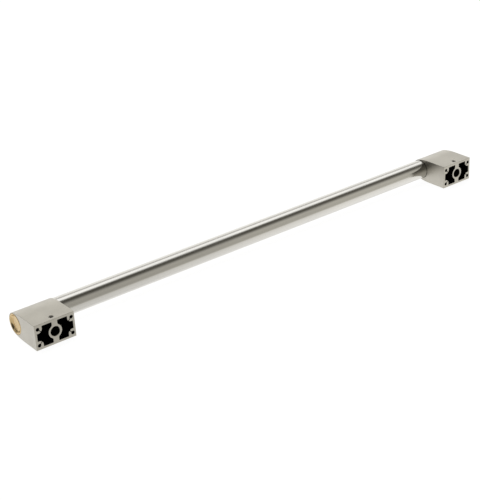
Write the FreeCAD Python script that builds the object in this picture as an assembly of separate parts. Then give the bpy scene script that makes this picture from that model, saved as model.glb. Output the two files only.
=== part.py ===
import FreeCAD, Part
import math
import os

# Bar handle for an appliance door: one straight round tube carried by two cast D-shaped posts.
#
# Frame, in millimetres: +X runs along the tube, +Y points away from the door, +Z is up.
# The origin is on the door plane (y = 0), midway between the bores that take the door's studs.
# The right-hand end is modelled and the left-hand end is its mirror image in the plane x = 0.
# Inside one end, "u" is the distance from the post's middle, positive towards its outer side.

Vector = FreeCAD.Vector

# ---- Overall ----
POST_SPACING = 632.0        # between the two stud bores
AXIS_STANDOFF = 44.2        # door plane to the tube's centre line
POST_WIDTH = 50.3           # along X
POST_HEIGHT = 31.0          # flat bottom to flat top
FLAT_LENGTH = 28.0          # how far the flats run from the door before they ease into the nose
NOSE_RADIUS = 13.5          # the nose is round about the tube's centre line
EDGE_BREAK = 0.35           # rounding of the post's outer edges

# ---- Tube ----
TUBE_RADIUS = 12.7
TUBE_WALL = 1.2
TUBE_END_CHAMFER = 0.3
TUBE_SOCKET_RADIUS = 12.75
SOCKET_FLOOR_U = 19.3       # the socket runs from the inner side face to here

# ---- Post: open back ----
POCKET_DEPTH = 26.0
SIDE_WALL = 2.5
TOP_WALL = 2.8
POCKET_CORNER_RADIUS = 0.8
RING_RADIUS = 8.3           # outside of the boss around the stud bore
RIB_WIDTH = 7.0             # ribs from that boss to the top and bottom walls
RIB_FLARE_RADIUS = 3.0      # where the ribs run into the boss

# ---- Post: stud bore, and the seat of the lock screw at its end ----
STUD_BORE_RADIUS = 5.6
STUD_BORE_DEPTH = 21.0
STUD_BORE_LEAD = 0.5
SCREW_SEAT_RADIUS = 5.0
SCREW_SEAT_DEPTH = 24.0
LOCK_CLEARANCE_RADIUS = 2.75

# ---- Post: C-shaped screw ports in the four corners ----
PORT_U = 21.1
PORT_Z = 9.9
PORT_RADIUS = 2.2
PORT_DEPTH = 22.0
PORT_BOSS_RADIUS = 5.2
PORT_SLOT_WIDTH = 1.0

# ---- Set screw and its hole in the top of the post ----
SET_HOLE_Y = 6.3
SET_HOLE_RADIUS = 2.55
SET_HOLE_LEAD = 0.4
SET_SCREW_RADIUS = 2.5
SET_SCREW_LENGTH = 8.0
SET_SCREW_TOP_Z = 14.6      # 0.9 mm below the top face
SET_SCREW_POINT = 0.7       # chamfer round the cup point
SET_SCREW_CUP_RADIUS = 1.3
SET_SCREW_CUP_DEPTH = 0.6
SET_SOCKET_FLATS = 2.5
SET_SOCKET_DEPTH = 2.6

# ---- Lock screw: holds the tube and its plug in the post ----
LOCK_SCREW_RADIUS = 2.45
LOCK_SCREW_LENGTH = 16.0
LOCK_HEAD_RADIUS = 4.7
LOCK_HEAD_HEIGHT = 2.7
LOCK_HEAD_ROUND = 1.4
LOCK_SOCKET_FLATS = 3.0
LOCK_SOCKET_DEPTH = 1.6
LOCK_TIP_CHAMFER = 0.6

# ---- Plug inside the tube's end ----
PLUG_RADIUS = 11.45
PLUG_INNER_U = -14.0
PLUG_FLANGE_RADIUS = 12.5
PLUG_FLANGE_THICKNESS = 2.0
PLUG_END_CLEARANCE = 0.3
PLUG_SPIGOT_HOLE_RADIUS = 4.0
PLUG_SPIGOT_HOLE_DEPTH = 15.5
PLUG_HOLLOW_RADIUS = 7.0
PLUG_HOLLOW_DEPTH = 9.0
PLUG_THREAD_RADIUS = 2.5
PLUG_THREAD_DEPTH = 9.0
PLUG_LEAD = 0.8

# ---- End cap: a polished disc in the post's outer side ----
CAP_RECESS_RADIUS = 12.8
CAP_RECESS_DEPTH = 3.0
CAP_RADIUS = 12.75
CAP_PROUD = 0.4             # top of the bead above the post's side face
CAP_BEAD_RADIUS = 1.2       # half-round bead round the rim
CAP_STEP = 0.35             # how far the bead's inner foot stands above the bead's centre
CAP_WELL_RADIUS = 8.5       # the flat floor inside the bead, with a conical wall up to its foot
CAP_WELL_DEPTH = 1.5
CAP_SPIGOT_RADIUS = 3.97
CAP_SPIGOT_HOLE_RADIUS = 4.2
CAP_SPIGOT_LENGTH = 15.0
CAP_SPIGOT_CHAMFER = 0.6

# ---- Seal ring where the tube enters the post ----
SEAL_INNER_RADIUS = 12.72
SEAL_OUTER_RADIUS = 13.02
SEAL_SEAT_RADIUS = 13.05
SEAL_SEAT_DEPTH = 1.5
SEAL_PROUD = 0.3
SEAL_ROUND = 0.12

OVERRUN = 1.0               # how far cutting tools run past the faces they open

# ---- Worked out ----
POST_X = POST_SPACING / 2
OUTER_FACE_U = POST_WIDTH / 2
HALF_HEIGHT = POST_HEIGHT / 2
PLUG_OUTER_U = SOCKET_FLOOR_U - PLUG_END_CLEARANCE
TUBE_END_U = PLUG_OUTER_U - PLUG_FLANGE_THICKNESS
AXIS_POINT = Vector(0, AXIS_STANDOFF, 0)
X_AXIS = Vector(1, 0, 0)
Y_AXIS = Vector(0, 1, 0)
Z_AXIS = Vector(0, 0, 1)


def rod(radius, start, axis, length):
    """A cylinder from the point start along axis."""
    return Part.makeCylinder(radius, length, start, axis)


def rod_on_axis(radius, from_u, to_u):
    """A cylinder on the tube's centre line between two distances from the post's middle."""
    return rod(radius, Vector(from_u, AXIS_STANDOFF, 0), X_AXIS, to_u - from_u)


def cone(radius, end_radius, start, axis, length):
    """A cone frustum from the point start along axis."""
    return Part.makeCone(radius, end_radius, length, start, axis)


def centred_box(u_size, y_from, y_to, z_size):
    """A box centred on u = 0 and z = 0."""
    corner = Vector(-u_size / 2, y_from, -z_size / 2)
    return Part.makeBox(u_size, y_to - y_from, z_size, corner)


def hexagon_prism(flats, start, axis, length):
    """A hexagonal prism, for a key socket, from the point start along axis."""
    corner_radius = flats / math.sqrt(3)
    side = Y_AXIS if abs(axis.dot(Y_AXIS)) < 0.5 else X_AXIS
    other = axis.cross(side)
    corners = []
    for step in range(7):
        angle = math.radians(60 * step)
        offset = side * math.cos(angle) + other * math.sin(angle)
        corners.append(start + offset * corner_radius)
    return Part.Face(Part.makePolygon(corners)).extrude(axis * length)


def runs_along(edge, axis):
    """Whether an edge is a straight line parallel to axis."""
    if not isinstance(edge.Curve, (Part.Line, Part.LineSegment)):
        return False
    direction = edge.Vertexes[-1].Point - edge.Vertexes[0].Point
    return direction.Length > 0 and abs(direction.normalize().dot(axis)) > 0.999


def revolve_on_axis(points):
    """Turn a closed outline of (u, radius) points once round the tube's centre line."""
    outline = [Vector(u, AXIS_STANDOFF + radius, 0) for u, radius in points]
    outline.append(outline[0])
    return Part.Face(Part.makePolygon(outline)).revolve(AXIS_POINT, X_AXIS, 360)


def post_blank():
    """The D-shaped prism with its outer edges rounded.

    Each flat eases into the nose along an arc that is tangent to both. Its centre lies under the
    flat's end, and the distance from there to the nose's centre is the difference of the two radii.
    """
    drop = HALF_HEIGHT - NOSE_RADIUS
    run = AXIS_STANDOFF - FLAT_LENGTH
    ease_radius = (run ** 2 / drop + HALF_HEIGHT + NOSE_RADIUS) / 2
    ease_angle = math.asin(run / (ease_radius - NOSE_RADIUS))

    def at(y, z):
        return Vector(-OUTER_FACE_U, y, z)

    def on_ease(angle, level):
        height = HALF_HEIGHT - ease_radius + ease_radius * math.cos(angle)
        return at(FLAT_LENGTH + ease_radius * math.sin(angle), level * height)

    def ease(level):
        points = [on_ease(share * ease_angle, level) for share in (0, 0.5, 1)]
        return Part.Arc(*points).toShape()

    nose_tip = at(AXIS_STANDOFF + NOSE_RADIUS, 0)
    outline = Part.Wire([
        Part.LineSegment(at(0, -HALF_HEIGHT), on_ease(0, -1)).toShape(),
        ease(-1),
        Part.Arc(on_ease(ease_angle, -1), nose_tip, on_ease(ease_angle, 1)).toShape(),
        ease(1),
        Part.LineSegment(on_ease(0, 1), at(0, HALF_HEIGHT)).toShape(),
        Part.LineSegment(at(0, HALF_HEIGHT), at(0, -HALF_HEIGHT)).toShape(),
    ])
    prism = Part.Face(outline).extrude(X_AXIS * POST_WIDTH)
    # The lines where the flats, easing arcs and nose meet are smooth, so they stay as they are.
    sharp = [edge for edge in prism.Edges
             if not (runs_along(edge, X_AXIS) and edge.Vertexes[0].Y > EDGE_BREAK)]
    return prism.makeFillet(EDGE_BREAK, sharp)


def stud_boss_and_ribs():
    """The boss round the stud bore with its two ribs, flared where they meet."""
    depth = POCKET_DEPTH + OVERRUN
    boss = rod(RING_RADIUS, Vector(0, -OVERRUN, 0), Y_AXIS, depth + OVERRUN)
    ribs = centred_box(RIB_WIDTH, -OVERRUN, depth, POST_HEIGHT)
    joined = boss.fuse(ribs).removeSplitter()
    root_z = math.sqrt(RING_RADIUS ** 2 - (RIB_WIDTH / 2) ** 2)
    roots = [edge for edge in joined.Edges
             if runs_along(edge, Y_AXIS) and abs(abs(edge.Vertexes[0].Z) - root_z) < 0.01]
    return joined.makeFillet(RIB_FLARE_RADIUS, roots)


def port_boss(side, level):
    """A corner boss: square to the walls, and rounded about its screw port on the inner side.

    side and level are +1 or -1: which side wall and which of the top and bottom walls.
    """
    u_size = OUTER_FACE_U - PORT_U + PORT_BOSS_RADIUS
    z_size = HALF_HEIGHT - PORT_Z + PORT_BOSS_RADIUS
    u_inner = side * (PORT_U - PORT_BOSS_RADIUS)
    z_inner = level * (PORT_Z - PORT_BOSS_RADIUS)
    corner = Vector(min(u_inner, u_inner + side * u_size), -OVERRUN, min(z_inner, z_inner + level * z_size))
    block = Part.makeBox(u_size, POCKET_DEPTH + 2 * OVERRUN, z_size, corner)
    inner_edge = [edge for edge in block.Edges if runs_along(edge, Y_AXIS)
                  and abs(edge.Vertexes[0].X - u_inner) < 0.01 and abs(edge.Vertexes[0].Z - z_inner) < 0.01]
    return block.makeFillet(PORT_BOSS_RADIUS - 0.01, inner_edge)


def port_cut(side, level):
    """A blind screw port and the slot that opens it towards the middle of the pocket."""
    centre = Vector(side * PORT_U, -OVERRUN, level * PORT_Z)
    hole = rod(PORT_RADIUS, centre, Y_AXIS, PORT_DEPTH + OVERRUN)
    reach = PORT_BOSS_RADIUS + OVERRUN
    slot_corner = Vector(0, -OVERRUN, -PORT_SLOT_WIDTH / 2)
    slot = Part.makeBox(reach, PORT_DEPTH + OVERRUN, PORT_SLOT_WIDTH, slot_corner)
    slot.rotate(Vector(0, 0, 0), Y_AXIS, -45 if side * level > 0 else 45)
    if side > 0:
        slot.rotate(Vector(0, 0, 0), Y_AXIS, 180)
    slot.translate(Vector(centre.x, 0, centre.z))
    return hole.fuse(slot)


CORNERS = [(side, level) for side in (-1, 1) for level in (-1, 1)]


def open_back():
    """The two pockets to cut from the back: the hollow less the boss, ribs and port bosses."""
    hollow = centred_box(POST_WIDTH - 2 * SIDE_WALL, -OVERRUN, POCKET_DEPTH, POST_HEIGHT - 2 * TOP_WALL)
    kept = [stud_boss_and_ribs()] + [port_boss(side, level) for side, level in CORNERS]
    hollow = hollow.cut(kept)
    wall_corners = [edge for edge in hollow.Edges if runs_along(edge, Y_AXIS)
                    and abs(abs(edge.Vertexes[0].Z) - (HALF_HEIGHT - TOP_WALL)) < 0.01]
    return hollow.makeFillet(POCKET_CORNER_RADIUS, wall_corners)


def stud_bore_cut():
    """The stud bore with its lead-in, the lock screw's seat and its clearance hole."""
    socket_wall = AXIS_STANDOFF - TUBE_SOCKET_RADIUS + OVERRUN
    bore = rod(STUD_BORE_RADIUS, Vector(0, -OVERRUN, 0), Y_AXIS, STUD_BORE_DEPTH + OVERRUN)
    lead = cone(STUD_BORE_RADIUS + STUD_BORE_LEAD, STUD_BORE_RADIUS, Vector(0, 0, 0), Y_AXIS, STUD_BORE_LEAD)
    seat = rod(SCREW_SEAT_RADIUS, Vector(0, 0, 0), Y_AXIS, SCREW_SEAT_DEPTH)
    clearance = rod(LOCK_CLEARANCE_RADIUS, Vector(0, 0, 0), Y_AXIS, socket_wall)
    return bore.fuse([lead, seat, clearance])


def set_hole_cut():
    """The set screw's hole from the top face into the stud bore."""
    start_z = STUD_BORE_RADIUS - OVERRUN
    hole = rod(SET_HOLE_RADIUS, Vector(0, SET_HOLE_Y, start_z), Z_AXIS, HALF_HEIGHT + OVERRUN - start_z)
    lead_start = Vector(0, SET_HOLE_Y, HALF_HEIGHT - SET_HOLE_LEAD)
    lead = cone(SET_HOLE_RADIUS, SET_HOLE_RADIUS + 2 * SET_HOLE_LEAD, lead_start, Z_AXIS, 2 * SET_HOLE_LEAD)
    return hole.fuse(lead)


def tube_socket_cut():
    """The tube's socket, the seal's seat, the cap's recess and the hole for the cap's spigot."""
    socket = rod_on_axis(TUBE_SOCKET_RADIUS, -OUTER_FACE_U - OVERRUN, SOCKET_FLOOR_U)
    seal_seat = rod_on_axis(SEAL_SEAT_RADIUS, -OUTER_FACE_U - OVERRUN, -OUTER_FACE_U + SEAL_SEAT_DEPTH)
    recess = rod_on_axis(CAP_RECESS_RADIUS, OUTER_FACE_U - CAP_RECESS_DEPTH, OUTER_FACE_U + OVERRUN)
    spigot_hole = rod_on_axis(CAP_SPIGOT_HOLE_RADIUS, 0, OUTER_FACE_U)
    return socket.fuse([seal_seat, recess, spigot_hole])


def make_post():
    """The cast post: it carries the tube and clamps on the door's stud."""
    cuts = [open_back(), stud_bore_cut(), set_hole_cut(), tube_socket_cut()]
    cuts += [port_cut(side, level) for side, level in CORNERS]
    return post_blank().cut(cuts)


def make_tube():
    """The grip tube, with a clearance hole for the lock screw near each end."""
    end_x = POST_X + TUBE_END_U
    outside = rod_on_axis(TUBE_RADIUS, -end_x, end_x)
    rims = [edge for edge in outside.Edges if isinstance(edge.Curve, Part.Circle)]
    outside = outside.makeChamfer(TUBE_END_CHAMFER, rims)
    inside = rod_on_axis(TUBE_RADIUS - TUBE_WALL, -end_x - OVERRUN, end_x + OVERRUN)
    holes = [rod(LOCK_CLEARANCE_RADIUS, Vector(x, AXIS_STANDOFF - TUBE_RADIUS - OVERRUN, 0),
                 Y_AXIS, TUBE_WALL + 2 * OVERRUN) for x in (-POST_X, POST_X)]
    return outside.cut([inside] + holes)


def make_plug():
    """The flanged plug in the tube's end: it takes the cap's spigot and the lock screw."""
    body = revolve_on_axis([
        (PLUG_INNER_U, 0),
        (PLUG_INNER_U, PLUG_RADIUS - PLUG_LEAD),
        (PLUG_INNER_U + PLUG_LEAD, PLUG_RADIUS),
        (TUBE_END_U, PLUG_RADIUS),
        (TUBE_END_U, PLUG_FLANGE_RADIUS),
        (PLUG_OUTER_U, PLUG_FLANGE_RADIUS),
        (PLUG_OUTER_U, 0),
    ])
    spigot_hole = rod_on_axis(PLUG_SPIGOT_HOLE_RADIUS, PLUG_OUTER_U - PLUG_SPIGOT_HOLE_DEPTH,
                              PLUG_OUTER_U + OVERRUN)
    hollow = rod_on_axis(PLUG_HOLLOW_RADIUS, PLUG_INNER_U - OVERRUN, PLUG_INNER_U + PLUG_HOLLOW_DEPTH)
    thread = rod(PLUG_THREAD_RADIUS, Vector(0, AXIS_STANDOFF - PLUG_RADIUS - OVERRUN, 0), Y_AXIS,
                 PLUG_THREAD_DEPTH + OVERRUN)
    return body.cut([spigot_hole, hollow, thread])


def make_cap():
    """The end cap: a disc with a beaded rim round a shallow well, on a spigot along the tube's axis."""
    back_u = OUTER_FACE_U - CAP_RECESS_DEPTH
    bead_u = OUTER_FACE_U + CAP_PROUD - CAP_BEAD_RADIUS
    bead_centre_radius = CAP_RADIUS - CAP_BEAD_RADIUS
    field_u = bead_u + CAP_STEP
    disc = rod_on_axis(CAP_RADIUS, back_u, bead_u).fuse(rod_on_axis(bead_centre_radius, back_u, field_u))
    bead = Part.makeTorus(bead_centre_radius, CAP_BEAD_RADIUS, Vector(bead_u, AXIS_STANDOFF, 0), X_AXIS)
    spigot = rod_on_axis(CAP_SPIGOT_RADIUS, back_u - CAP_SPIGOT_LENGTH, back_u)
    tip = [edge for edge in spigot.Edges if abs(edge.BoundBox.XMax - back_u + CAP_SPIGOT_LENGTH) < 0.01]
    spigot = spigot.makeChamfer(CAP_SPIGOT_CHAMFER, tip)
    mouth_radius = bead_centre_radius - CAP_BEAD_RADIUS
    floor_point = Vector(field_u - CAP_WELL_DEPTH, AXIS_STANDOFF, 0)
    well = cone(CAP_WELL_RADIUS, mouth_radius, floor_point, X_AXIS, CAP_WELL_DEPTH)
    mouth = rod_on_axis(mouth_radius, field_u, field_u + OVERRUN)
    return disc.fuse([bead, spigot]).removeSplitter().cut([well, mouth])


def make_seal():
    """The thin ring that closes the gap where the tube enters the post."""
    from_u = -OUTER_FACE_U - SEAL_PROUD
    to_u = -OUTER_FACE_U + SEAL_SEAT_DEPTH
    ring = rod_on_axis(SEAL_OUTER_RADIUS, from_u, to_u)
    rim = [edge for edge in ring.Edges if isinstance(edge.Curve, Part.Circle)
           and abs(edge.BoundBox.XMin - from_u) < 0.01]
    ring = ring.makeFillet(SEAL_ROUND, rim)
    return ring.cut(rod_on_axis(SEAL_INNER_RADIUS, from_u - OVERRUN, to_u + OVERRUN))


def make_set_screw():
    """The headless set screw: key socket on top, cup point below, shown just clear of the bore."""
    tip_z = SET_SCREW_TOP_Z - SET_SCREW_LENGTH
    body = rod(SET_SCREW_RADIUS, Vector(0, SET_HOLE_Y, tip_z), Z_AXIS, SET_SCREW_LENGTH)
    point = [edge for edge in body.Edges if abs(edge.BoundBox.ZMax - tip_z) < 0.01]
    body = body.makeChamfer(SET_SCREW_POINT, point)
    cup = cone(SET_SCREW_CUP_RADIUS, 0, Vector(0, SET_HOLE_Y, tip_z), Z_AXIS, SET_SCREW_CUP_DEPTH)
    socket_start = Vector(0, SET_HOLE_Y, SET_SCREW_TOP_Z)
    socket = hexagon_prism(SET_SOCKET_FLATS, socket_start, -Z_AXIS, SET_SOCKET_DEPTH)
    return body.cut([cup, socket])


def make_lock_screw():
    """The button-head screw from the end of the stud bore, through the tube's wall, into the plug."""
    head_y = SCREW_SEAT_DEPTH - LOCK_HEAD_HEIGHT
    head = rod(LOCK_HEAD_RADIUS, Vector(0, head_y, 0), Y_AXIS, LOCK_HEAD_HEIGHT)
    crown = [edge for edge in head.Edges if abs(edge.BoundBox.YMax - head_y) < 0.01]
    head = head.makeFillet(LOCK_HEAD_ROUND, crown)
    tip_y = SCREW_SEAT_DEPTH + LOCK_SCREW_LENGTH
    shank = rod(LOCK_SCREW_RADIUS, Vector(0, SCREW_SEAT_DEPTH, 0), Y_AXIS, LOCK_SCREW_LENGTH)
    tip = [edge for edge in shank.Edges if abs(edge.BoundBox.YMin - tip_y) < 0.01]
    shank = shank.makeChamfer(LOCK_TIP_CHAMFER, tip)
    socket = hexagon_prism(LOCK_SOCKET_FLATS, Vector(0, head_y, 0), Y_AXIS, LOCK_SOCKET_DEPTH)
    return head.fuse(shank).removeSplitter().cut(socket)


def export(name, shape):
    """Check that a node is one valid solid and write it."""
    assert shape.isValid(), name
    assert len(shape.Solids) == 1, name
    solid = shape.Solids[0]
    solid.exportStep(f"parts/{name}.step")
    print(f"{name}: {solid.Volume / 1000:.2f} cm3")


def main():
    """Write the tube, and each end piece for the right and left ends."""
    os.makedirs("parts", exist_ok=True)
    export("bar_tube", make_tube())
    end_pieces = {
        "post": make_post(),
        "end_cap": make_cap(),
        "tube_plug": make_plug(),
        "tube_seal": make_seal(),
        "lock_screw": make_lock_screw(),
        "set_screw": make_set_screw(),
    }
    for name, piece in end_pieces.items():
        right = piece.copy()
        right.translate(X_AXIS * POST_X)
        export(f"right_{name}", right)
        export(f"left_{name}", right.mirror(Vector(0, 0, 0), X_AXIS))


main()
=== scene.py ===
"""Looks of a bar handle for an appliance door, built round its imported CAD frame.

Lengths are in metres in the CAD frame: +X runs along the grip tube, +Y points away from the door and
+Z is up, out of the faces that the set screws enter. The two cast posts and the two tube plugs keep
their CAD meshes. The tube, end caps, seals and screws are surfaces worked out here, and they stand
for their CAD nodes.
"""

import logging
import math
from collections.abc import Mapping, Sequence
from dataclasses import dataclass, field
from enum import Enum
from typing import Any, Union

import bmesh
import bpy
import numpy as np
from mathutils import Matrix, Vector


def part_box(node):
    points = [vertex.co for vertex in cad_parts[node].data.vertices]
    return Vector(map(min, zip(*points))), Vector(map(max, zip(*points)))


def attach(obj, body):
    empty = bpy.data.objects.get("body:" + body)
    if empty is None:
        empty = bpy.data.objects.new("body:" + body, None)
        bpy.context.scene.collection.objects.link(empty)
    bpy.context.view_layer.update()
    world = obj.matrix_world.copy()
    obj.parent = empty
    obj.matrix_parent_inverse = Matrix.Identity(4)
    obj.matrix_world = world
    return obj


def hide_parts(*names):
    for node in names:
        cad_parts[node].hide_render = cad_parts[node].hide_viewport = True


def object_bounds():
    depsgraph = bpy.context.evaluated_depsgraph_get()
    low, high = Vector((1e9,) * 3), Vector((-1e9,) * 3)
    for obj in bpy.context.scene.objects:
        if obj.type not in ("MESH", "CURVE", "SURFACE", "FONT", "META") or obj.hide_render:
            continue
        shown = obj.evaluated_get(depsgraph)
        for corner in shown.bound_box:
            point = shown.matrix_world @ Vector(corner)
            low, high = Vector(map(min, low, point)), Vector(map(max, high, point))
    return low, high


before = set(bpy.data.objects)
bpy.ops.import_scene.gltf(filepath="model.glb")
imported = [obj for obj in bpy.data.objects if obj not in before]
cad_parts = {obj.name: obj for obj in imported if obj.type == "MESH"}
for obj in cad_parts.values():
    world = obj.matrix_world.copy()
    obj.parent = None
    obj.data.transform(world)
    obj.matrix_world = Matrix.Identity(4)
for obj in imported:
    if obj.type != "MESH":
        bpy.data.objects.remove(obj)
CAD_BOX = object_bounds()

MM = 0.001
MICRON = 1e-6
BODY = "handle"
SHARP_TURNED = 38.0
SHARP_CAP = 50.0
SHARP_THREAD = 30.0
log = logging.getLogger("bar_handle")

Colour = tuple[float, float, float]
Operand = Union[float, "Signal"]
Ramp = tuple[tuple[float, float, float], ...]


# ---- Surfaces ----


class Turning(Enum):
    """The axis that a piece is turned about: its direction, and the two directions across it."""

    ALONG_TUBE = ((1.0, 0.0, 0.0), (0.0, 1.0, 0.0), (0.0, 0.0, 1.0))
    AWAY_FROM_DOOR = ((0.0, 1.0, 0.0), (0.0, 0.0, 1.0), (1.0, 0.0, 0.0))
    UPWARDS = ((0.0, 0.0, 1.0), (1.0, 0.0, 0.0), (0.0, 1.0, 0.0))


class End(Enum):
    """An end of the handle, with the sign of its x."""

    LEFT = -1
    RIGHT = 1

    @property
    def word(self) -> str:
        """The end's name as piece names begin with it."""
        return self.name.lower()

    def node(self, piece: str) -> str:
        """The CAD node of a piece at this end."""
        return f"{self.word}_{piece}"


@dataclass
class Surface:
    """A closed surface as arrays.

    Attributes:
        points: The corners, one row of x, y and z each.
        faces: Four corner numbers for each face.
    """

    points: np.ndarray
    faces: np.ndarray

    def volume(self) -> float:
        """The volume inside: for each face, the sum of a . (b x c) / 6 over its two triangles."""
        a, b, c, d = (self.points[self.faces[:, i]] for i in range(4))
        first = np.einsum("ij,ij->i", a, np.cross(b, c))
        second = np.einsum("ij,ij->i", a, np.cross(c, d))
        return float((first + second).sum() / 6)

    def facing_out(self) -> "Surface":
        """The same surface with its faces turned over if they point inwards."""
        return self if self.volume() > 0 else Surface(self.points, self.faces[:, ::-1])


def grid_faces(rows: int, columns: int, closed_rows: bool) -> np.ndarray:
    """Faces of a grid whose columns close on themselves.

    Point (i, j) of the grid is number i * columns + j, and face (i, j) joins it to its neighbours.

    Args:
        rows: Number of rows.
        columns: Number of points in each row.
        closed_rows: Whether the last row joins the first.

    Returns:
        Four corner numbers for each face.
    """
    i, j = np.meshgrid(np.arange(rows if closed_rows else rows - 1), np.arange(columns), indexing="ij")
    next_i = (i + 1) % rows
    next_j = (j + 1) % columns
    corners = [i * columns + j, i * columns + next_j, next_i * columns + next_j, next_i * columns + j]
    return np.stack(corners, axis=-1).reshape(-1, 4)


def turned(
    along: np.ndarray,
    radius: np.ndarray,
    centre: Vector,
    turning: Turning,
    segments: int,
    hollow: bool = False,
) -> Surface:
    """A surface turned about an axis, whose radius and height may change with the angle.

    Point (i, j) = centre + along[i, j] * axis + radius[i, j] * (cos t * side + sin t * other), where t
    is j shares of a whole turn.

    Args:
        along: Distance along the axis, one row for each ring, with one or with segments columns.
        radius: Distance from the axis, in the same way.
        centre: Where along is zero.
        turning: The axis.
        segments: Points in each ring.
        hollow: Whether the last ring joins the first, as for a ring or tube.

    Returns:
        The closed surface. Rings of zero radius are merged when the mesh is made.
    """
    axis, side, other = (np.array(direction) for direction in turning.value)
    angle = np.arange(segments) * 2 * math.pi / segments
    spoke = np.cos(angle)[:, None] * side + np.sin(angle)[:, None] * other
    heights = np.broadcast_to(along, (len(along), segments))[..., None]
    radii = np.broadcast_to(radius, (len(radius), segments))[..., None]
    points = np.array(centre) + heights * axis + radii * spoke
    faces = grid_faces(len(along), segments, hollow)
    return Surface(points.reshape(-1, 3), faces).facing_out()


def rounded(corners: Sequence[tuple[float, float]], radii: Sequence[float], steps: int = 6) -> np.ndarray:
    """An outline with rounded corners.

    The outline is worked in complex numbers, along + i radius. Where it turns by the angle a at a
    corner, the arc starts radius * tan(a / 2) before the corner and turns by a about a centre that
    lies square to the incoming side. A radius of zero keeps the corner.

    Args:
        corners: The corners as (along, radius).
        radii: The rounding of each corner.
        steps: Points added by each arc.

    Returns:
        Points (along, radius), one per row.
    """
    corner = np.array(corners) @ np.array([1, 1j])
    arc_radius = np.array(radii)
    incoming = corner - np.roll(corner, 1)
    outgoing = np.roll(corner, -1) - corner
    incoming = incoming / abs(incoming)
    outgoing = outgoing / abs(outgoing)
    turn = np.angle(outgoing / incoming)
    start = corner - incoming * arc_radius * np.tan(abs(turn) / 2)
    centre = start + 1j * np.sign(turn) * incoming * arc_radius
    share = np.linspace(0, 1, steps + 1)
    arcs = centre[:, None] + (start - centre)[:, None] * np.exp(1j * turn[:, None] * share)
    flat = arcs.reshape(-1)
    return np.stack([flat.real, flat.imag], axis=-1)


def hexagon_radius(flats: float, segments: int) -> np.ndarray:
    """Radius of a hexagon: half the flats over the cosine of the angle from the nearest flat."""
    angle = np.arange(segments) * 2 * math.pi / segments
    from_flat = (angle + math.pi / 6) % (math.pi / 3) - math.pi / 6
    return (flats / 2 / np.cos(from_flat))[None, :]


def thread_radius(heights: np.ndarray, outside: float, pitch: float, segments: int) -> np.ndarray:
    """Radius of a right-hand 60 degree thread.

    The phase is height / pitch less the share of a turn. The groove's depth rises with a triangle
    wave of that phase, and is cut off flat over an eighth of the pitch at the crest and a quarter
    at the root.

    Args:
        heights: Height of each ring.
        outside: Radius over the crests.
        pitch: Rise in one turn.
        segments: Points in each ring.

    Returns:
        The radius at each ring and angle.
    """
    depth_share, crest, root = 0.613, 1 / 8, 1 / 4
    share = np.arange(segments) / segments
    phase = (heights[:, None] / pitch - share[None, :]) % 1.0
    wave = 1 - abs(2 * phase - 1)
    groove = np.clip((wave - crest) / (1 - crest - root), 0, 1)
    return outside - depth_share * pitch * groove


def make_mesh(name: str, surface: Surface, sharp_degrees: float = SHARP_TURNED) -> bpy.types.Object:
    """Put a surface into a mesh object at the origin.

    Points that coincide are merged, which closes the poles and seams, and edges that turn by more
    than the given angle are marked sharp.

    Args:
        name: The object's name.
        surface: The closed surface.
        sharp_degrees: Angle above which an edge is sharp.

    Returns:
        The linked object.
    """
    mesh = bpy.data.meshes.new(name)
    mesh.from_pydata(surface.points.tolist(), [], surface.faces.tolist())
    work = bmesh.new()
    work.from_mesh(mesh)
    bmesh.ops.remove_doubles(work, verts=work.verts, dist=MICRON)
    bmesh.ops.dissolve_degenerate(work, edges=work.edges, dist=MICRON / 10)
    work.to_mesh(mesh)
    work.free()
    mesh.shade_smooth()
    mesh.set_sharp_from_angle(angle=math.radians(sharp_degrees))
    piece = bpy.data.objects.new(name, mesh)
    bpy.context.scene.collection.objects.link(piece)
    return piece


def cut_away(piece: bpy.types.Object, cutters: Sequence[bpy.types.Object]) -> None:
    """Cut other meshes out of a piece for good, and remove them.

    Args:
        piece: The mesh object to cut.
        cutters: Closed mesh objects.
    """
    for cutter in cutters:
        cut = piece.modifiers.new(cutter.name, "BOOLEAN")
        cut.operation = "DIFFERENCE"
        cut.solver = "EXACT"
        cut.object = cutter
    evaluated = piece.evaluated_get(bpy.context.evaluated_depsgraph_get())
    piece.data = bpy.data.meshes.new_from_object(evaluated)
    piece.modifiers.clear()
    for cutter in cutters:
        bpy.data.objects.remove(cutter)


# ---- Shader arithmetic ----


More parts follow.
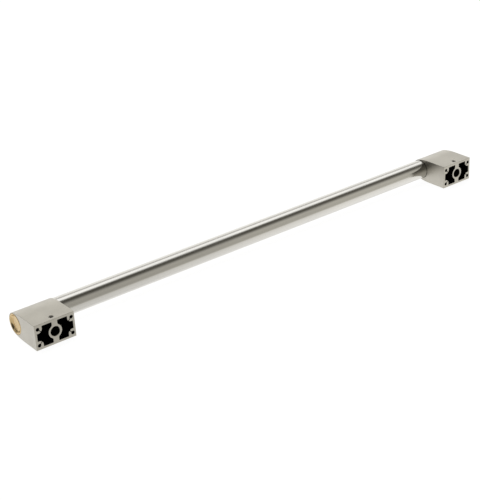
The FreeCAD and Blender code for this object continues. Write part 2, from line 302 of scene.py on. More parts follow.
@dataclass
class Signal:
    """A socket that carries a number. Arithmetic on it adds Math nodes.

    Attributes:
        shader: The tree that the socket is in.
        socket: The output socket.
    """

    shader: "Shader"
    socket: bpy.types.NodeSocket

    def math(self, operation: str, *operands: Operand) -> "Signal":
        """The result of a Math node with these operands."""
        inputs = dict(enumerate(operands))
        return self.shader.number("ShaderNodeMath", {"operation": operation}, inputs)

    def __add__(self, other: Operand) -> "Signal":
        """This plus another."""
        return self.math("ADD", self, other)

    def __radd__(self, other: Operand) -> "Signal":
        """Another plus this."""
        return self.math("ADD", other, self)

    def __sub__(self, other: Operand) -> "Signal":
        """This less another."""
        return self.math("SUBTRACT", self, other)

    def __rsub__(self, other: Operand) -> "Signal":
        """Another less this."""
        return self.math("SUBTRACT", other, self)

    def __mul__(self, other: Operand) -> "Signal":
        """This times another."""
        return self.math("MULTIPLY", self, other)

    def __rmul__(self, other: Operand) -> "Signal":
        """Another times this."""
        return self.math("MULTIPLY", other, self)

    def __abs__(self) -> "Signal":
        """This without its sign."""
        return self.math("ABSOLUTE", self)

    def sine(self) -> "Signal":
        """The sine of this, in radians."""
        return self.math("SINE", self)

    def root(self) -> "Signal":
        """The square root of this."""
        return self.math("SQRT", self)

    def greatest(self, other: Operand) -> "Signal":
        """The greater of this and another."""
        return self.math("MAXIMUM", self, other)

    def rise(self, low: float, high: float, start: float = 0.0, end: float = 1.0) -> "Signal":
        """A smooth step from start to end as this goes from low to high.

        Args:
            low: Where the step starts.
            high: Where it ends. It may be below low.
            start: The value before the step.
            end: The value after it.

        Returns:
            The stepped signal.
        """
        if high < low:
            low, high, start, end = high, low, end, start
        inputs = {"Value": self, "From Min": low, "From Max": high, "To Min": start, "To Max": end}
        return self.shader.number("ShaderNodeMapRange", {"interpolation_type": "SMOOTHSTEP"}, inputs)


class Shader:
    """A node tree of a material or world, and the few kinds of node that the finishes use."""

    def __init__(self, tree: bpy.types.NodeTree) -> None:
        """Empty the tree.

        Args:
            tree: The material's or world's tree.
        """
        self.tree = tree
        self.tree.nodes.clear()

    def node(self, kind: str, settings: Mapping[str, Any], inputs: Mapping[Any, Any]) -> bpy.types.Node:
        """Add a node: its type, then its settings, then its sockets' values or links.

        Args:
            kind: The node's type.
            settings: Attributes by name. "stops" is a colour ramp's list of (place, colour).
            inputs: Values, sockets or signals by the input's name or number.

        Returns:
            The node.
        """
        node = self.tree.nodes.new(kind)
        for name, value in settings.items():
            if name == "stops":
                self._set_stops(node.color_ramp, value)
            else:
                setattr(node, name, value)
        for name, value in inputs.items():
            if isinstance(value, Signal):
                value = value.socket
            if isinstance(value, bpy.types.NodeSocket):
                self.tree.links.new(value, node.inputs[name])
            else:
                node.inputs[name].default_value = value
        return node

    @staticmethod
    def _set_stops(ramp: bpy.types.ColorRamp, stops: Sequence[tuple[float, Colour]]) -> None:
        """Give a colour ramp its stops.

        Args:
            ramp: The ramp, which has two elements to start with.
            stops: Places in rising order with their colours.
        """
        while len(ramp.elements) < len(stops):
            ramp.elements.new(1.0)
        for element, (place, colour) in zip(ramp.elements, stops):
            element.position = place
            element.color = (*colour, 1.0)

    def number(self, kind: str, settings: Mapping[str, Any], inputs: Mapping[Any, Any]) -> Signal:
        """Add a node and take its first output as a number."""
        return Signal(self, self.node(kind, settings, inputs).outputs[0])

    def place(self) -> bpy.types.NodeSocket:
        """The point on the piece, in its object's metres."""
        return self.node("ShaderNodeTexCoord", {}, {}).outputs["Object"]

    def facing(self) -> bpy.types.NodeSocket:
        """The surface's own normal."""
        return self.node("ShaderNodeNewGeometry", {}, {}).outputs["True Normal"]

    def parts(self, vector: bpy.types.NodeSocket) -> tuple[Signal, Signal, Signal]:
        """The x, y and z of a vector."""
        split = self.node("ShaderNodeSeparateXYZ", {}, {"Vector": vector})
        x, y, z = (Signal(self, output) for output in split.outputs)
        return x, y, z

    def stretched(self, vector: bpy.types.NodeSocket, scale: Colour) -> bpy.types.NodeSocket:
        """A vector scaled along each axis.

        Args:
            vector: The vector.
            scale: The factor for each axis.

        Returns:
            The new vector.
        """
        return self.node("ShaderNodeVectorMath", {"operation": "MULTIPLY"}, {0: vector, 1: scale}).outputs[0]

    def noise(self, vector: bpy.types.NodeSocket, scale: float, detail: float = 2.0) -> Signal:
        """Smooth noise from 0 to 1.

        Args:
            vector: Where it is read.
            scale: Features in a metre.
            detail: Octaves of finer noise.

        Returns:
            The noise.
        """
        return self.number("ShaderNodeTexNoise", {}, {"Vector": vector, "Scale": scale, "Detail": detail})

    def cells(self, vector: bpy.types.NodeSocket, scale: float) -> Signal:
        """Distance from the nearest of scattered points, in cell sizes."""
        return self.number("ShaderNodeTexVoronoi", {"feature": "F1"}, {"Vector": vector, "Scale": scale})

    def mixed(self, share: Operand, first: Any, second: Any) -> bpy.types.NodeSocket:
        """A colour between two others.

        Args:
            share: 0 for the first, 1 for the second.
            first: A colour or a colour socket.
            second: A colour or a colour socket.

        Returns:
            The mixed colour.
        """
        wide = [(*c, 1.0) if isinstance(c, tuple) else c for c in (first, second)]
        mix = self.node("ShaderNodeMix", {"data_type": "RGBA"}, {0: share, 6: wide[0], 7: wide[1]})
        return mix.outputs[2]

    def bumped(self, height: Signal, distance: float) -> bpy.types.NodeSocket:
        """A normal tilted by a height from 0 to 1 that stands for a distance in metres."""
        return self.node("ShaderNodeBump", {}, {"Height": height, "Distance": distance}).outputs[0]

    def finish(self, inputs: Mapping[str, Any]) -> None:
        """Add the surface shader with these inputs and its output."""
        surface = self.node("ShaderNodeBsdfPrincipled", {}, inputs)
        self.node("ShaderNodeOutputMaterial", {}, {"Surface": surface.outputs[0]})


def new_shader(name: str) -> tuple[bpy.types.Material, Shader]:
    """A named material and its empty shader."""
    material = bpy.data.materials.new(name)
    material.use_nodes = True
    return material, Shader(material.node_tree)


# ---- Finishes ----


@dataclass(frozen=True)
class PolishedTubeSteel:
    """Satin-polished stainless tube: long fine polishing lines, faint wipe marks and a few specks."""

    tone: Colour = (0.668, 0.655, 0.622)
    dull_tone: Colour = (0.61, 0.60, 0.575)
    roughness: float = 0.165
    line_width: float = 0.35 * MM
    line_length: float = 90 * MM
    line_depth: float = 0.9 * MICRON

    def material(self) -> bpy.types.Material:
        """Build the finish.

        Returns:
            The material.
        """
        material, shader = new_shader("polished_tube_steel")
        place = shader.place()
        across = 1 / self.line_width
        lines = shader.noise(shader.stretched(place, (1 / self.line_length, across, across)), 1.0, 3.0)
        fine = shader.noise(shader.stretched(place, (60.0, across * 3, across * 3)), 1.0, 2.0)
        wipes = shader.noise(shader.stretched(place, (14.0, 70.0, 70.0)), 1.0, 4.0)
        specks = shader.cells(place, 210.0).rise(0.06, 0.03)
        speck_patches = shader.noise(place, 35.0).rise(0.60, 0.68)
        marks = specks * speck_patches
        wear = wipes.rise(0.45, 0.72)
        colour = shader.mixed((lines - 0.5) * 0.5 + wear * 0.45 + marks * 0.4, self.tone, self.dull_tone)
        rough = self.roughness + (lines - 0.5) * 0.07 + wear * 0.05 + marks * 0.12
        height = lines * 0.65 + fine * 0.35 - marks * 0.8
        shader.finish({
            "Base Color": colour,
            "Metallic": 1.0,
            "Roughness": rough,
            "Normal": shader.bumped(height, self.line_depth),
        })
        return material


@dataclass(frozen=True)
class SatinNickelCasting:
    """Satin nickel on a die casting: fine even grain outside, polished edges lightened as wear and painted
    highlight, and rough cast pockets coloured near black as painted shade.

    The pockets lie between the side walls, between the flat walls and behind the pocket floor. The
    mask's steps are in metres from those faces, and the edge mask's from the side and back faces.
    """

    end: End
    post_x: float
    half_width: float
    half_height: float
    tone: Colour = (0.512, 0.490, 0.435)
    shade_tone: Colour = (0.465, 0.445, 0.395)
    # Lighter colour for the rounded edges: partly worn plating, partly painted highlight.
    edge_wear_and_highlight_tone: Colour = (0.58, 0.56, 0.51)
    # Near-black painted shade for the pockets' inner walls.
    pocket_painted_shade: Colour = (0.020, 0.019, 0.018)
    roughness: float = 0.36
    wall: float = 1.5 * MM
    wall_fade: float = 1.3
    pocket_depth: float = 26.0 * MM
    mouth_fade: tuple[float, float] = (0.05 * MM, 0.6 * MM)
    floor_fade: tuple[float, float] = (1.2 * MM, 0.4 * MM)
    side_edge: tuple[float, float] = (1.1 * MM, 0.7 * MM)
    back_edge: tuple[float, float] = (0.9 * MM, 0.6 * MM)
    grain: float = 0.16 * MM
    grain_depth: float = 2.2 * MICRON

    def material(self) -> bpy.types.Material:
        """Build the finish for one end's post.

        Returns:
            The material.
        """
        material, shader = new_shader(f"satin_nickel_{self.end.word}")
        place = shader.place()
        x, y, z = shader.parts(place)
        from_middle = abs(x - self.end.value * self.post_x)
        pocket = self._pocket(from_middle, y, z)
        edges = self._edges(shader, from_middle, y)
        clouds = shader.noise(place, 46.0, 3.0)
        grain = shader.noise(place, 1 / self.grain, 2.0)
        rub = shader.noise(shader.stretched(place, (900.0, 60.0, 900.0)), 1.0, 2.0)
        pits = shader.cells(place, 420.0).rise(0.10, 0.04) * shader.noise(place, 60.0).rise(0.58, 0.66)
        plate = shader.mixed(clouds.rise(0.35, 0.68) * 0.6 + pits * 0.4, self.tone, self.shade_tone)
        # Partly wear and partly painted highlight: the rounded outer edges are coloured lighter, as where
        # they catch the light.
        plate = shader.mixed(edges * 0.5, plate, self.edge_wear_and_highlight_tone)
        cast = shader.noise(place, 2400.0, 3.0)
        # Painted shade: the pockets' inner walls are coloured near black for the shadow that falls inside
        # them.
        colour = shader.mixed(pocket, plate, self.pocket_painted_shade)
        rough = self.roughness + (clouds - 0.5) * 0.12 + (rub - 0.5) * 0.10 - edges * 0.12 + pocket * 0.22
        height = grain * 0.7 + rub * 0.3 - pits * 1.2 + cast * pocket * 3.0
        shader.finish({
            "Base Color": colour,
            "Metallic": 1.0,
            "Roughness": rough,
            "Normal": shader.bumped(height, self.grain_depth),
        })
        return material

    def _pocket(self, from_middle: Signal, y: Signal, z: Signal) -> Signal:
        """How far a point is into the open back: 1 on its inner walls, 0 on the back face and outside.

        Args:
            from_middle: Distance from the post's middle along X.
            y: Distance from the door.
            z: Height.

        Returns:
            The mask.
        """
        faded_wall = self.wall_fade * self.wall
        within_sides = from_middle.rise(self.half_width - self.wall, self.half_width - faded_wall)
        within_flats = abs(z).rise(self.half_height - self.wall, self.half_height - faded_wall)
        floor_start, floor_end = (self.pocket_depth + step for step in self.floor_fade)
        within_depth = y.rise(*self.mouth_fade) * y.rise(floor_start, floor_end)
        return within_sides * within_flats * within_depth

    def _edges(self, shader: Shader, from_middle: Signal, y: Signal) -> Signal:
        """Where the outer edges are rounded: there the normal lies between two faces' normals.

        Args:
            shader: The shader being built.
            from_middle: Distance from the post's middle along X.
            y: Distance from the door.

        Returns:
            The mask, strongest half-way round an edge.
        """
        normal_x, normal_y, _ = shader.parts(shader.facing())
        side = normal_x * normal_x
        back = normal_y * normal_y
        side_start, side_end = (self.half_width - step for step in self.side_edge)
        side_edges = side * (1 - side) * 4 * from_middle.rise(side_start, side_end)
        back_edges = back * (1 - back) * 4 * y.rise(*self.back_edge)
        return side_edges.greatest(back_edges)


@dataclass(frozen=True)
class PolishedBrass:
    """Polished brass turned on a lathe: faint rings about the cap's middle, and warmer tarnish."""

    centre: tuple[float, float, float]
    name: str
    tone: Colour = (0.62, 0.465, 0.245)
    tarnish: Colour = (0.50, 0.36, 0.175)
    roughness: float = 0.15
    ring_pitch: float = 0.22 * MM
    ring_depth: float = 0.5 * MICRON

    def material(self) -> bpy.types.Material:
        """Build the finish for one cap.

        Returns:
            The material.
        """
        material, shader = new_shader(self.name)
        place = shader.place()
        _, y, z = shader.parts(place)
        out_y = y - self.centre[1]
        out_z = z - self.centre[2]
        radius = (out_y * out_y + out_z * out_z).root()
        wander = shader.noise(place, 300.0) * 0.8
        rings = (radius * (2 * math.pi / self.ring_pitch) + wander).sine() * 0.5 + 0.5
        clouds = shader.noise(place, 95.0, 3.0)
        grain = shader.noise(place, 3200.0)
        share = clouds.rise(0.42, 0.75) * 0.65 + (rings - 0.5) * 0.08
        shader.finish({
            "Base Color": shader.mixed(share, self.tone, self.tarnish),
            "Metallic": 1.0,
            "Roughness": self.roughness + clouds.rise(0.4, 0.8) * 0.10 + (grain - 0.5) * 0.05,
            "Normal": shader.bumped(rings * 0.6 + grain * 0.4, self.ring_depth),
        })
        return material


class Coating(Enum):
    """A screw's coating: material name, two tones, roughness and how metallic it is."""

    BRIGHT_ZINC = ("bright_zinc", (0.60, 0.62, 0.65), (0.52, 0.50, 0.42), 0.30, 1.0)
    PLAIN_STAINLESS = ("plain_stainless", (0.40, 0.39, 0.37), (0.24, 0.23, 0.215), 0.40, 1.0)


@dataclass(frozen=True)
class CoatedScrewSteel:
    """Screw steel under a thin coating, mottled, and rubbed where a driver or thread has worked."""

    coating: Coating
    mottle: float = 1.1 * MM
    depth: float = 3.0 * MICRON

    def material(self) -> bpy.types.Material:
        """Build the finish.

        Returns:
            The material.
        """
        name, tone, other_tone, roughness, metallic = self.coating.value
        material, shader = new_shader(name)
        place = shader.place()
        patches = shader.noise(place, 1 / self.mottle, 4.0)
        grain = shader.noise(place, 5200.0)
        specks = shader.cells(place, 2600.0).rise(0.22, 0.08)
        shader.finish({
            "Base Color": shader.mixed(patches.rise(0.4, 0.7), tone, other_tone),
            "Metallic": metallic,
            "Roughness": roughness + (patches - 0.5) * 0.22 + specks * 0.15,
            "Normal": shader.bumped(grain * 0.6 + patches * 0.4 - specks * 0.4, self.depth),
        })
        return material


@dataclass(frozen=True)
class MouldedDark:
    """A dark moulded piece: matt with a fine pebble, a little dust and flow marks."""

    name: str
    tone: Colour
    dust: Colour
    roughness: float
    pebble: float
    depth: float

    def material(self) -> bpy.types.Material:
        """Build the finish.

        Returns:
            The material.
        """
        material, shader = new_shader(self.name)
        place = shader.place()
        pebbles = shader.cells(place, 1 / self.pebble)
        flow = shader.noise(place, 120.0, 4.0)
        dusty = shader.noise(place, 900.0, 3.0).rise(0.55, 0.72)
        shader.finish({
            "Base Color": shader.mixed(dusty * 0.35 + flow * 0.2, self.tone, self.dust),
            "Roughness": self.roughness + (flow - 0.5) * 0.15 + dusty * 0.08,
            "Normal": shader.bumped(pebbles * 0.7 + flow * 0.3, self.depth),
        })
        return material


# ---- Pieces ----


def dress(piece: bpy.types.Object, material: bpy.types.Material) -> None:
    """Give every part of a mesh one material."""
    piece.data.materials.clear()
    piece.data.materials.append(material)


def dress_cad(node: str, material: bpy.types.Material) -> None:
    """Give a carried-over CAD node its material, in the object's own slots.

    Args:
        node: The CAD node.
        material: Its finish.
    """
    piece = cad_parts[node]
    if not piece.material_slots:
        piece.data.materials.append(material)
    for held in piece.material_slots:
        held.link = "OBJECT"
        held.material = material
    log.info("%s: CAD mesh, %d faces, %s", node, len(piece.data.polygons), material.name)


def settle(piece: bpy.types.Object, node: str, body: str, material: bpy.types.Material) -> None:
    """Dress a finished piece and let it stand for its CAD node.

    Args:
        piece: The mesh object.
        node: The CAD node that it replaces.
        body: The CAD body that it rides on.
        material: Its finish.
    """
    dress(piece, material)
    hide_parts(node)
    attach(piece, body)
    log.info("%s: %d faces, rides on %s", piece.name, len(piece.data.polygons), body)


@dataclass
class GripTube:
    """The long round tube, open inside, with a clearance hole for a lock screw near each end."""

    wall: float = 1.2 * MM
    chamfer: float = 0.3 * MM
    chamfer_round: float = 0.12 * MM
    hole_radius: float = 2.75 * MM
    segments: int = 192
    drill_segments: int = 48
    rings: int = 48
    low: Vector = field(default_factory=lambda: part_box("bar_tube")[0])
    high: Vector = field(default_factory=lambda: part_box("bar_tube")[1])

    def outline(self) -> np.ndarray:
        """The wall's section: out along the outside, round the chamfered end, back along the bore."""
        half = (self.high.x - self.low.x) / 2
        outside = (self.high.y - self.low.y) / 2
        bore = outside - self.wall
        inset, lowered = half - self.chamfer, outside - self.chamfer
        corners = [
            (-inset, outside), (inset, outside), (half, lowered),
            (half, bore), (-half, bore), (-half, lowered),
        ]
        soft = self.chamfer_round
        arcs = rounded(corners, [soft, soft, soft, 0, 0, soft], 3)
        points = len(arcs) // len(corners)
        length = np.linspace(-half + 2 * self.chamfer, half - 2 * self.chamfer, self.rings)
        outer_run = np.stack([length, np.full_like(length, outside)], axis=-1)
        inner_run = np.stack([length[::-1], np.full_like(length, bore)], axis=-1)
        before, between, after = arcs[:points], arcs[points:4 * points], arcs[4 * points:]
        return np.concatenate([before, outer_run, between, inner_run, after])

    def build(self, post_x: float) -> None:
        """Build the tube and drill it.

        Args:
            post_x: Distance of each post's middle from x = 0.
        """
        centre = (self.low + self.high) / 2
        section = self.outline()
        surface = turned(section[:, :1], section[:, 1:], centre, Turning.ALONG_TUBE, self.segments, True)
        tube = make_mesh("grip_tube", surface)
        cut_away(tube, [self._drill(end, post_x) for end in End])
        tube.data.set_sharp_from_angle(angle=math.radians(SHARP_TURNED))
        settle(tube, "bar_tube", BODY, PolishedTubeSteel().material())

    def _drill(self, end: End, post_x: float) -> bpy.types.Object:
        """A closed rod through the tube's wall on the door side.

        Args:
            end: Which end of the handle.
            post_x: Distance of the post's middle from x = 0.

        Returns:
            The rod, to be cut away.
        """
        reach = 2 * self.wall
        heights = np.array([[-reach], [-reach], [reach], [reach]])
        radii = np.array([[0.0], [self.hole_radius], [self.hole_radius], [0.0]])
        centre = Vector((end.value * post_x, self.low.y + self.wall / 2, (self.low.z + self.high.z) / 2))
        rod = turned(heights, radii, centre, Turning.AWAY_FROM_DOOR, self.drill_segments)
        return make_mesh(f"drill_{end.word}", rod)


@dataclass
class EndCap:
    """The brass cap in a post's outer side: a half-round bead about a shallow well, on a spigot."""

    end: End
    bead: float = 1.2 * MM
    step: float = 0.35 * MM
    well_radius: float = 8.5 * MM
    well_depth: float = 1.5 * MM
    well_round: float = 0.9 * MM
    hollow: float = 0.12 * MM
    thickness: float = 3.4 * MM
    spigot_radius: float = 3.97 * MM
    spigot_chamfer: float = 0.6 * MM
    back_round: float = 0.2 * MM
    tip_round: float = 0.1 * MM
    segments: int = 160

    def section(self, radius: float, length: float) -> np.ndarray:
        """The cap's section as depth below the bead's top, and radius.

        From the middle outwards, the well's floor rises by hollow * (r / r_floor)^2, and a cone with
        rounded ends climbs to the bead's foot. The bead is an arc of its own radius from the foot
        over its top to the rim.

        Args:
            radius: The cap's outside radius.
            length: From the bead's top to the spigot's tip.

        Returns:
            Points (depth, radius).
        """
        middle = radius - self.bead
        foot_angle = math.asin(self.step / self.bead)
        foot = (self.bead - self.step, middle - self.bead * math.cos(foot_angle))
        floor_depth = foot[0] + self.well_depth
        floor_edge = self.well_radius - self.well_round
        share = np.linspace(0, 1, 16)
        floor = np.stack([floor_depth - self.hollow * share**2, share * floor_edge], axis=-1)
        wall_depth = floor_depth - self.hollow
        corners = [(wall_depth, floor_edge), (wall_depth, self.well_radius), foot]
        wall = rounded(corners, [0, self.well_round, 0], 8)
        turn = np.linspace(foot_angle, math.pi, 30)
        bead = np.stack([self.bead * (1 - np.sin(turn)), middle - self.bead * np.cos(turn)], axis=-1)
        back = rounded(
            [(self.bead, radius), (self.thickness, radius), (self.thickness, self.spigot_radius),
             (length - self.spigot_chamfer, self.spigot_radius),
             (length, self.spigot_radius - self.spigot_chamfer), (length, 0.0)],
            [0, self.back_round, self.back_round, self.tip_round, self.tip_round, 0], 4)
        return np.concatenate([floor, wall, bead, back])

    def build(self) -> None:
        """Build the cap."""
        node = self.end.node("end_cap")
        low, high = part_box(node)
        outer_x = high.x if self.end is End.RIGHT else low.x
        centre = Vector((outer_x, (low.y + high.y) / 2, (low.z + high.z) / 2))
        section = self.section((high.z - low.z) / 2, high.x - low.x)
        along = -self.end.value * section[:, :1]
        surface = turned(along, section[:, 1:], centre, Turning.ALONG_TUBE, self.segments)
        cap = make_mesh(f"{self.end.word}_brass_cap", surface, SHARP_CAP)
        brass = PolishedBrass(tuple(centre), f"polished_brass_{self.end.word}")
        settle(cap, node, BODY, brass.material())


@dataclass
class TubeSeal:
    """The thin ring where the tube enters a post, round over its outer lip."""

    end: End
    lip_round: float = 0.12 * MM
    wiper_round: float = 0.15 * MM
    hidden_round: float = 0.05 * MM
    inner_radius: float = 12.72 * MM
    segments: int = 160

    def build(self, material: bpy.types.Material) -> None:
        """Build the ring.

        Args:
            material: The rubber.
        """
        node = self.end.node("tube_seal")
        low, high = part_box(node)
        centre = (low + high) / 2
        outside = (high.z - low.z) / 2
        half = (high.x - low.x) / 2
        lip = -self.end.value * half
        corners = [(lip, self.inner_radius), (lip, outside), (-lip, outside), (-lip, self.inner_radius)]
        radii = [self.wiper_round, self.lip_round, self.hidden_round, self.hidden_round]
        section = rounded(corners, radii, 5)
        surface = turned(section[:, :1], section[:, 1:], centre, Turning.ALONG_TUBE, self.segments, True)
        seal = make_mesh(f"{self.end.word}_seal_ring", surface)
        settle(seal, node, BODY, material)


@dataclass
class KeyedScrew:
    """What the two kinds of socket screw share: their thread and their hexagonal key socket."""

    end: End
    pitch: float = 0.8 * MM
    rows_per_turn: int = 12
    segments: int = 96
    socket_lead: float = 0.12 * MM
    socket_cone: float = 0.35 * MM

    def socket_rows(self, flats: float, depth: float) -> tuple[np.ndarray, np.ndarray]:
        """Rings of the key socket from its drilled floor's middle up to its chamfered mouth.

        The radius is a share of the hexagon's. The floor is a shallow cone.

        Args:
            flats: Across the hexagon's flats.
            depth: The socket's depth, measured downwards.

        Returns:
            Depths below the mouth and radii, one row for each ring.
        """
        hexagon = hexagon_radius(flats, self.segments)
        lead = self.socket_lead
        shares = np.array([[0.0], [0.5], [0.97], [1.0], [1.0], [1.0]])
        depths = np.array([depth + self.socket_cone, depth + self.socket_cone / 2, depth, depth - lead / 2,
                           lead, 0.0])[:, None]
        growth = np.array([[0.0], [0.0], [0.0], [0.0], [0.0], [lead]])
        return np.broadcast_to(depths, (6, self.segments)), hexagon * shares + growth

    def ring_rows(self, rows: Sequence[tuple[float, float]]) -> tuple[np.ndarray, np.ndarray]:
        """Plain round rings.

        Args:
            rows: Depth and radius of each.

        Returns:
            Depths and radii, one row for each ring.
        """
        values = np.array(rows)
        shape = (len(values), self.segments)
        return np.broadcast_to(values[:, :1], shape), np.broadcast_to(values[:, 1:], shape)

    def thread_rows(self, start: float, end: float, outside: float) -> tuple[np.ndarray, np.ndarray]:
        """Threaded rings between two depths.

        Args:
            start: First depth.
            end: Last depth.
            outside: Radius over the crests.

        Returns:
            Depths and radii, one row for each ring.
        """
        count = int((end - start) / self.pitch * self.rows_per_turn)
        depths = np.linspace(start, end, count)
        radii = thread_radius(-depths, outside, self.pitch, self.segments)
        return np.broadcast_to(depths[:, None], radii.shape), radii


@dataclass
class SetScrew(KeyedScrew):
    """The headless screw in a post's top: key socket above, cup point below."""

    flats: float = 2.5 * MM
    socket_depth: float = 2.6 * MM
    top_chamfer: float = 0.45 * MM
    point_chamfer: float = 0.7 * MM
    cup_radius: float = 1.3 * MM
    cup_depth: float = 0.6 * MM

    def build(self, material: bpy.types.Material) -> None:
        """Build the screw.

        The thread's radius is held under two cones, one falling to each end.

        Args:
            material: The screw's finish.
        """
        node = self.end.node("set_screw")
        low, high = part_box(node)
        outside = (high.x - low.x) / 2
        length = high.z - low.z
        top = Vector(((low.x + high.x) / 2, (low.y + high.y) / 2, high.z))
        depths, radii = self.thread_rows(0.0, length, outside)
        upper_cone = outside - self.top_chamfer + depths
        lower_cone = outside - self.point_chamfer + (length - depths)
        radii = np.minimum(radii, np.minimum(upper_cone, lower_cone))
        rows = [
            self.socket_rows(self.flats, self.socket_depth),
            (depths, radii),
            self.ring_rows([(length, self.cup_radius), (length - self.cup_depth / 2, self.cup_radius / 2),
                            (length - self.cup_depth, 0.0)]),
        ]
        along = -np.concatenate([depth for depth, _ in rows])
        radius = np.concatenate([ring for _, ring in rows])
        surface = turned(along, radius, top, Turning.UPWARDS, self.segments)
        screw = make_mesh(f"{self.end.word}_cup_point_screw", surface, SHARP_THREAD)
        settle(screw, node, node, material)


@dataclass
class LockScrew(KeyedScrew):
    """The button-head screw at the end of the stud bore, which holds the tube in the post."""

    flats: float = 3.0 * MM
    socket_depth: float = 1.6 * MM
    head_height: float = 2.7 * MM
    head_round: float = 1.4 * MM
    thread_outside: float = 2.45 * MM
    tip_chamfer: float = 0.6 * MM
    plain_length: float = 1.2 * MM
    under_head_chamfer: float = 0.1 * MM

    def build(self, material: bpy.types.Material) -> None:
        """Build the screw.

        Args:
            material: The screw's finish.
        """
        node = self.end.node("lock_screw")
        low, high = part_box(node)
        head = (high.x - low.x) / 2
        length = high.y - low.y
        top = Vector(((low.x + high.x) / 2, low.y, (low.z + high.z) / 2))
        turn = np.linspace(0, math.pi / 2, 12)
        crown_depth = self.head_round * (1 - np.cos(turn))
        crown_radius = head - self.head_round * (1 - np.sin(turn))
        crown = list(zip(crown_depth.tolist(), crown_radius.tolist()))
        break_size = self.under_head_chamfer
        thread_start = self.head_height + self.plain_length
        under = [(self.head_height - break_size, head), (self.head_height, head - break_size),
                 (self.head_height, self.thread_outside), (thread_start, self.thread_outside)]
        depths, radii = self.thread_rows(thread_start, length, self.thread_outside)
        radii = np.minimum(radii, self.thread_outside - self.tip_chamfer + (length - depths))
        tip_radius = self.thread_outside - self.tip_chamfer
        rows = [
            self.socket_rows(self.flats, self.socket_depth),
            self.ring_rows(crown + under),
            (depths, radii),
            self.ring_rows([(length, tip_radius / 2), (length, 0.0)]),
        ]
        along = np.concatenate([depth for depth, _ in rows])
        radius = np.concatenate([ring for _, ring in rows])
        surface = turned(along, radius, top, Turning.AWAY_FROM_DOOR, self.segments)
        screw = make_mesh(f"{self.end.word}_button_head_screw", surface, SHARP_THREAD)
        settle(screw, node, BODY, material)


@dataclass
class SharedFinishes:
    """Finishes that both ends use."""

    rubber: bpy.types.Material = field(default_factory=lambda: MouldedDark(
        "seal_rubber", (0.010, 0.010, 0.011), (0.09, 0.088, 0.085), 0.62, 0.25 * MM, 4 * MICRON).material())
    nylon: bpy.types.Material = field(default_factory=lambda: MouldedDark(
        "plug_nylon", (0.020, 0.020, 0.022), (0.10, 0.10, 0.10), 0.48, 0.5 * MM, 8 * MICRON).material())
    zinc: bpy.types.Material = field(
        default_factory=lambda: CoatedScrewSteel(Coating.BRIGHT_ZINC).material())
    stainless: bpy.types.Material = field(
        default_factory=lambda: CoatedScrewSteel(Coating.PLAIN_STAINLESS).material())


@dataclass
class HandleEnd:
    """One end of the handle: the post and what is fitted to it."""

    end: End
    shared: SharedFinishes

    def build(self) -> None:
        """Build and dress every piece of this end."""
        low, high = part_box(self.end.node("post"))
        nickel = SatinNickelCasting(
            end=self.end,
            post_x=abs(low.x + high.x) / 2,
            half_width=(high.x - low.x) / 2,
            half_height=(high.z - low.z) / 2,
        )
        dress_cad(self.end.node("post"), nickel.material())
        dress_cad(self.end.node("tube_plug"), self.shared.nylon)
        EndCap(self.end).build()
        TubeSeal(self.end).build(self.shared.rubber)
        SetScrew(self.end).build(self.shared.stainless)
        LockScrew(self.end).build(self.shared.zinc)


# ---- Studio ----


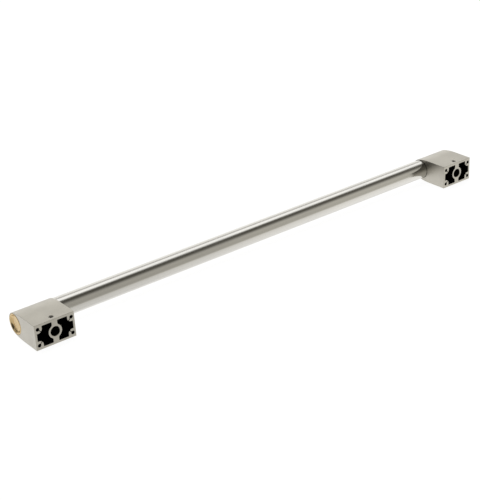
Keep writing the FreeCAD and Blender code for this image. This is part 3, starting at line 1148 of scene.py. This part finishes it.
@dataclass
class Studio:
    """A pale table, a soft room and the camera.

    The room's light is two ramps over the angle round the handle's length. Each goes from level on
    the door side (0) to level on the far side (1): one over the top, and one under the handle, where
    the bright table ends short of the level. The metal is lit by the lower ramp in place of the
    table. Above the level, the light falls off towards -X to a dim wall. On the door side it grows a
    little towards +X. Each step is given by where a part of the direction starts and ends it.
    """

    camera_place: tuple[float, float, float] = (-0.8716, -1.0770, 0.6738)
    camera_azimuth: float = -37.027
    camera_elevation: float = 26.166
    camera_roll: float = -2.886
    lens: float = 90.6
    sensor: float = 36.0
    floor_radius: float = 14.0
    floor_gap: float = 0.05 * MM
    floor_glow: float = 0.94
    room: Ramp = (
        (0.0, 0.50, 0.12), (0.18, 0.54, 0.12), (0.24, 0.42, 0.12), (0.29, 0.22, 0.14), (0.34, 0.11, 0.18),
        (0.44, 0.09, 0.20), (0.50, 0.60, 0.05), (0.54, 1.35, 0.0), (0.655, 1.35, 0.0), (0.73, 0.42, 0.05),
        (0.80, 1.05, 0.04), (1.0, 1.2, 0.02),
    )
    table_seen_in_metal: Ramp = (
        (0.0, 0.50, 0.12), (0.06, 0.52, 0.12), (0.12, 0.88, 0.05), (0.25, 0.96, 0.03), (1.0, 1.1, 0.0),
    )
    dim_share: float = 0.72
    dim_towards: tuple[float, float] = (-0.12, -0.40)
    dim_below: tuple[float, float] = (0.93, 0.70)
    dim_above: tuple[float, float] = (-0.06, 0.02)
    level_blend: float = 0.01
    door_side_blend: float = 0.1
    drift_towards: tuple[float, float] = (0.35, 0.75)
    drift: tuple[float, float] = (-0.20, 0.22)
    floor_rings: int = 24
    floor_segments: int = 96

    def build(self) -> None:
        """Build the floor, the room's light and the camera."""
        self._floor()
        self._room()
        self._camera()
        bpy.context.scene.view_settings.view_transform = "Standard"

    def _floor(self) -> None:
        """A wide disc just under the handle, whose rings grow outwards with the square of their number."""
        low, high = CAD_BOX
        middle = (Vector(low) + Vector(high)) / 2
        radii = (np.linspace(0, 1, self.floor_rings) ** 2 * self.floor_radius)[:, None]
        columns = self.floor_segments
        angle = np.arange(columns) * 2 * math.pi / columns
        across = np.stack([radii * np.cos(angle), radii * np.sin(angle), radii * 0 * angle], axis=-1)
        centre = np.array([middle.x, middle.y, low[2] - self.floor_gap])
        surface = Surface((across + centre).reshape(-1, 3), grid_faces(len(radii), columns, False)[:, ::-1])
        floor = make_mesh("studio_table", surface)
        material, shader = new_shader("table_white")
        sweep = shader.noise(shader.place(), 1.5)
        shader.finish({
            "Base Color": shader.mixed(sweep, (0.16, 0.16, 0.16), (0.20, 0.20, 0.20)),
            "Roughness": 0.9,
            "Specular IOR Level": 0.1,
            "Emission Color": (1.0, 1.0, 1.0, 1.0),
            "Emission Strength": self.floor_glow,
        })
        dress(floor, material)
        floor.visible_glossy = False
        floor.visible_shadow = False
        if floor.data.polygons[0].normal.z < 0:
            floor.data.flip_normals()

    def _room(self) -> None:
        """Light from all round: bright over the far side, dark just before overhead, grey by the door."""
        world = bpy.data.worlds.new("soft_room")
        world.use_nodes = True
        bpy.context.scene.world = world
        shader = Shader(world.node_tree)
        direction = shader.node("ShaderNodeTexCoord", {}, {}).outputs["Generated"]
        x, y, z = shader.parts(direction)
        over = self._ramp(shader, y, z, self.room)
        under = self._ramp(shader, y, z * -1.0, self.table_seen_in_metal)
        colour = shader.mixed(z.rise(self.level_blend, -self.level_blend), over, under)
        dim = x.rise(*self.dim_towards) * z.rise(*self.dim_below) * z.rise(*self.dim_above)
        door_side = y.rise(self.door_side_blend, -self.door_side_blend)
        drift = 1 + x.rise(*self.drift_towards, *self.drift) * door_side
        light = {"Color": colour, "Strength": (1 - dim * self.dim_share) * drift}
        background = shader.node("ShaderNodeBackground", {}, light)
        shader.node("ShaderNodeOutputWorld", {}, {"Surface": background.outputs[0]})

    @staticmethod
    def _ramp(shader: Shader, y: Signal, rise: Signal, stops: Ramp) -> bpy.types.NodeSocket:
        """The light over the angle from level on the door side.

        Args:
            shader: The world's shader.
            y: The direction's y.
            rise: How far the direction rises, or how far it falls for the ramp under the handle.
            stops: The ramp's stops.

        Returns:
            The light's colour.
        """
        angle = rise.math("ARCTAN2", rise.greatest(0.0), y * -1.0)
        colours = [(place, (light, light * (1 - warmth / 4), light * (1 - warmth)))
                   for place, light, warmth in stops]
        share = angle * (1 / math.pi)
        return shader.node("ShaderNodeValToRGB", {"stops": colours}, {"Fac": share}).outputs[0]

    def _camera(self) -> None:
        """The camera, turned by its azimuth, elevation and roll."""
        data = bpy.data.cameras.new("studio_camera")
        data.lens = self.lens
        data.sensor_width = self.sensor
        data.clip_end = 4 * self.floor_radius
        camera = bpy.data.objects.new("studio_camera", data)
        bpy.context.scene.collection.objects.link(camera)
        turn = Matrix.Rotation(math.radians(self.camera_azimuth), 4, "Z")
        tilt = Matrix.Rotation(math.radians(90 - self.camera_elevation), 4, "X")
        roll = Matrix.Rotation(math.radians(self.camera_roll), 4, "Z")
        camera.matrix_world = Matrix.Translation(self.camera_place) @ turn @ tilt @ roll
        bpy.context.scene.camera = camera


def main() -> None:
    """Build the handle's tube, its two ends and the studio."""
    logging.basicConfig(level=logging.INFO, format="%(message)s")
    post_low, post_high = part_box(End.RIGHT.node("post"))
    GripTube().build((post_low.x + post_high.x) / 2)
    shared = SharedFinishes()
    for end in End:
        HandleEnd(end, shared).build()
    Studio().build()


if __name__ == "__main__":
    main()
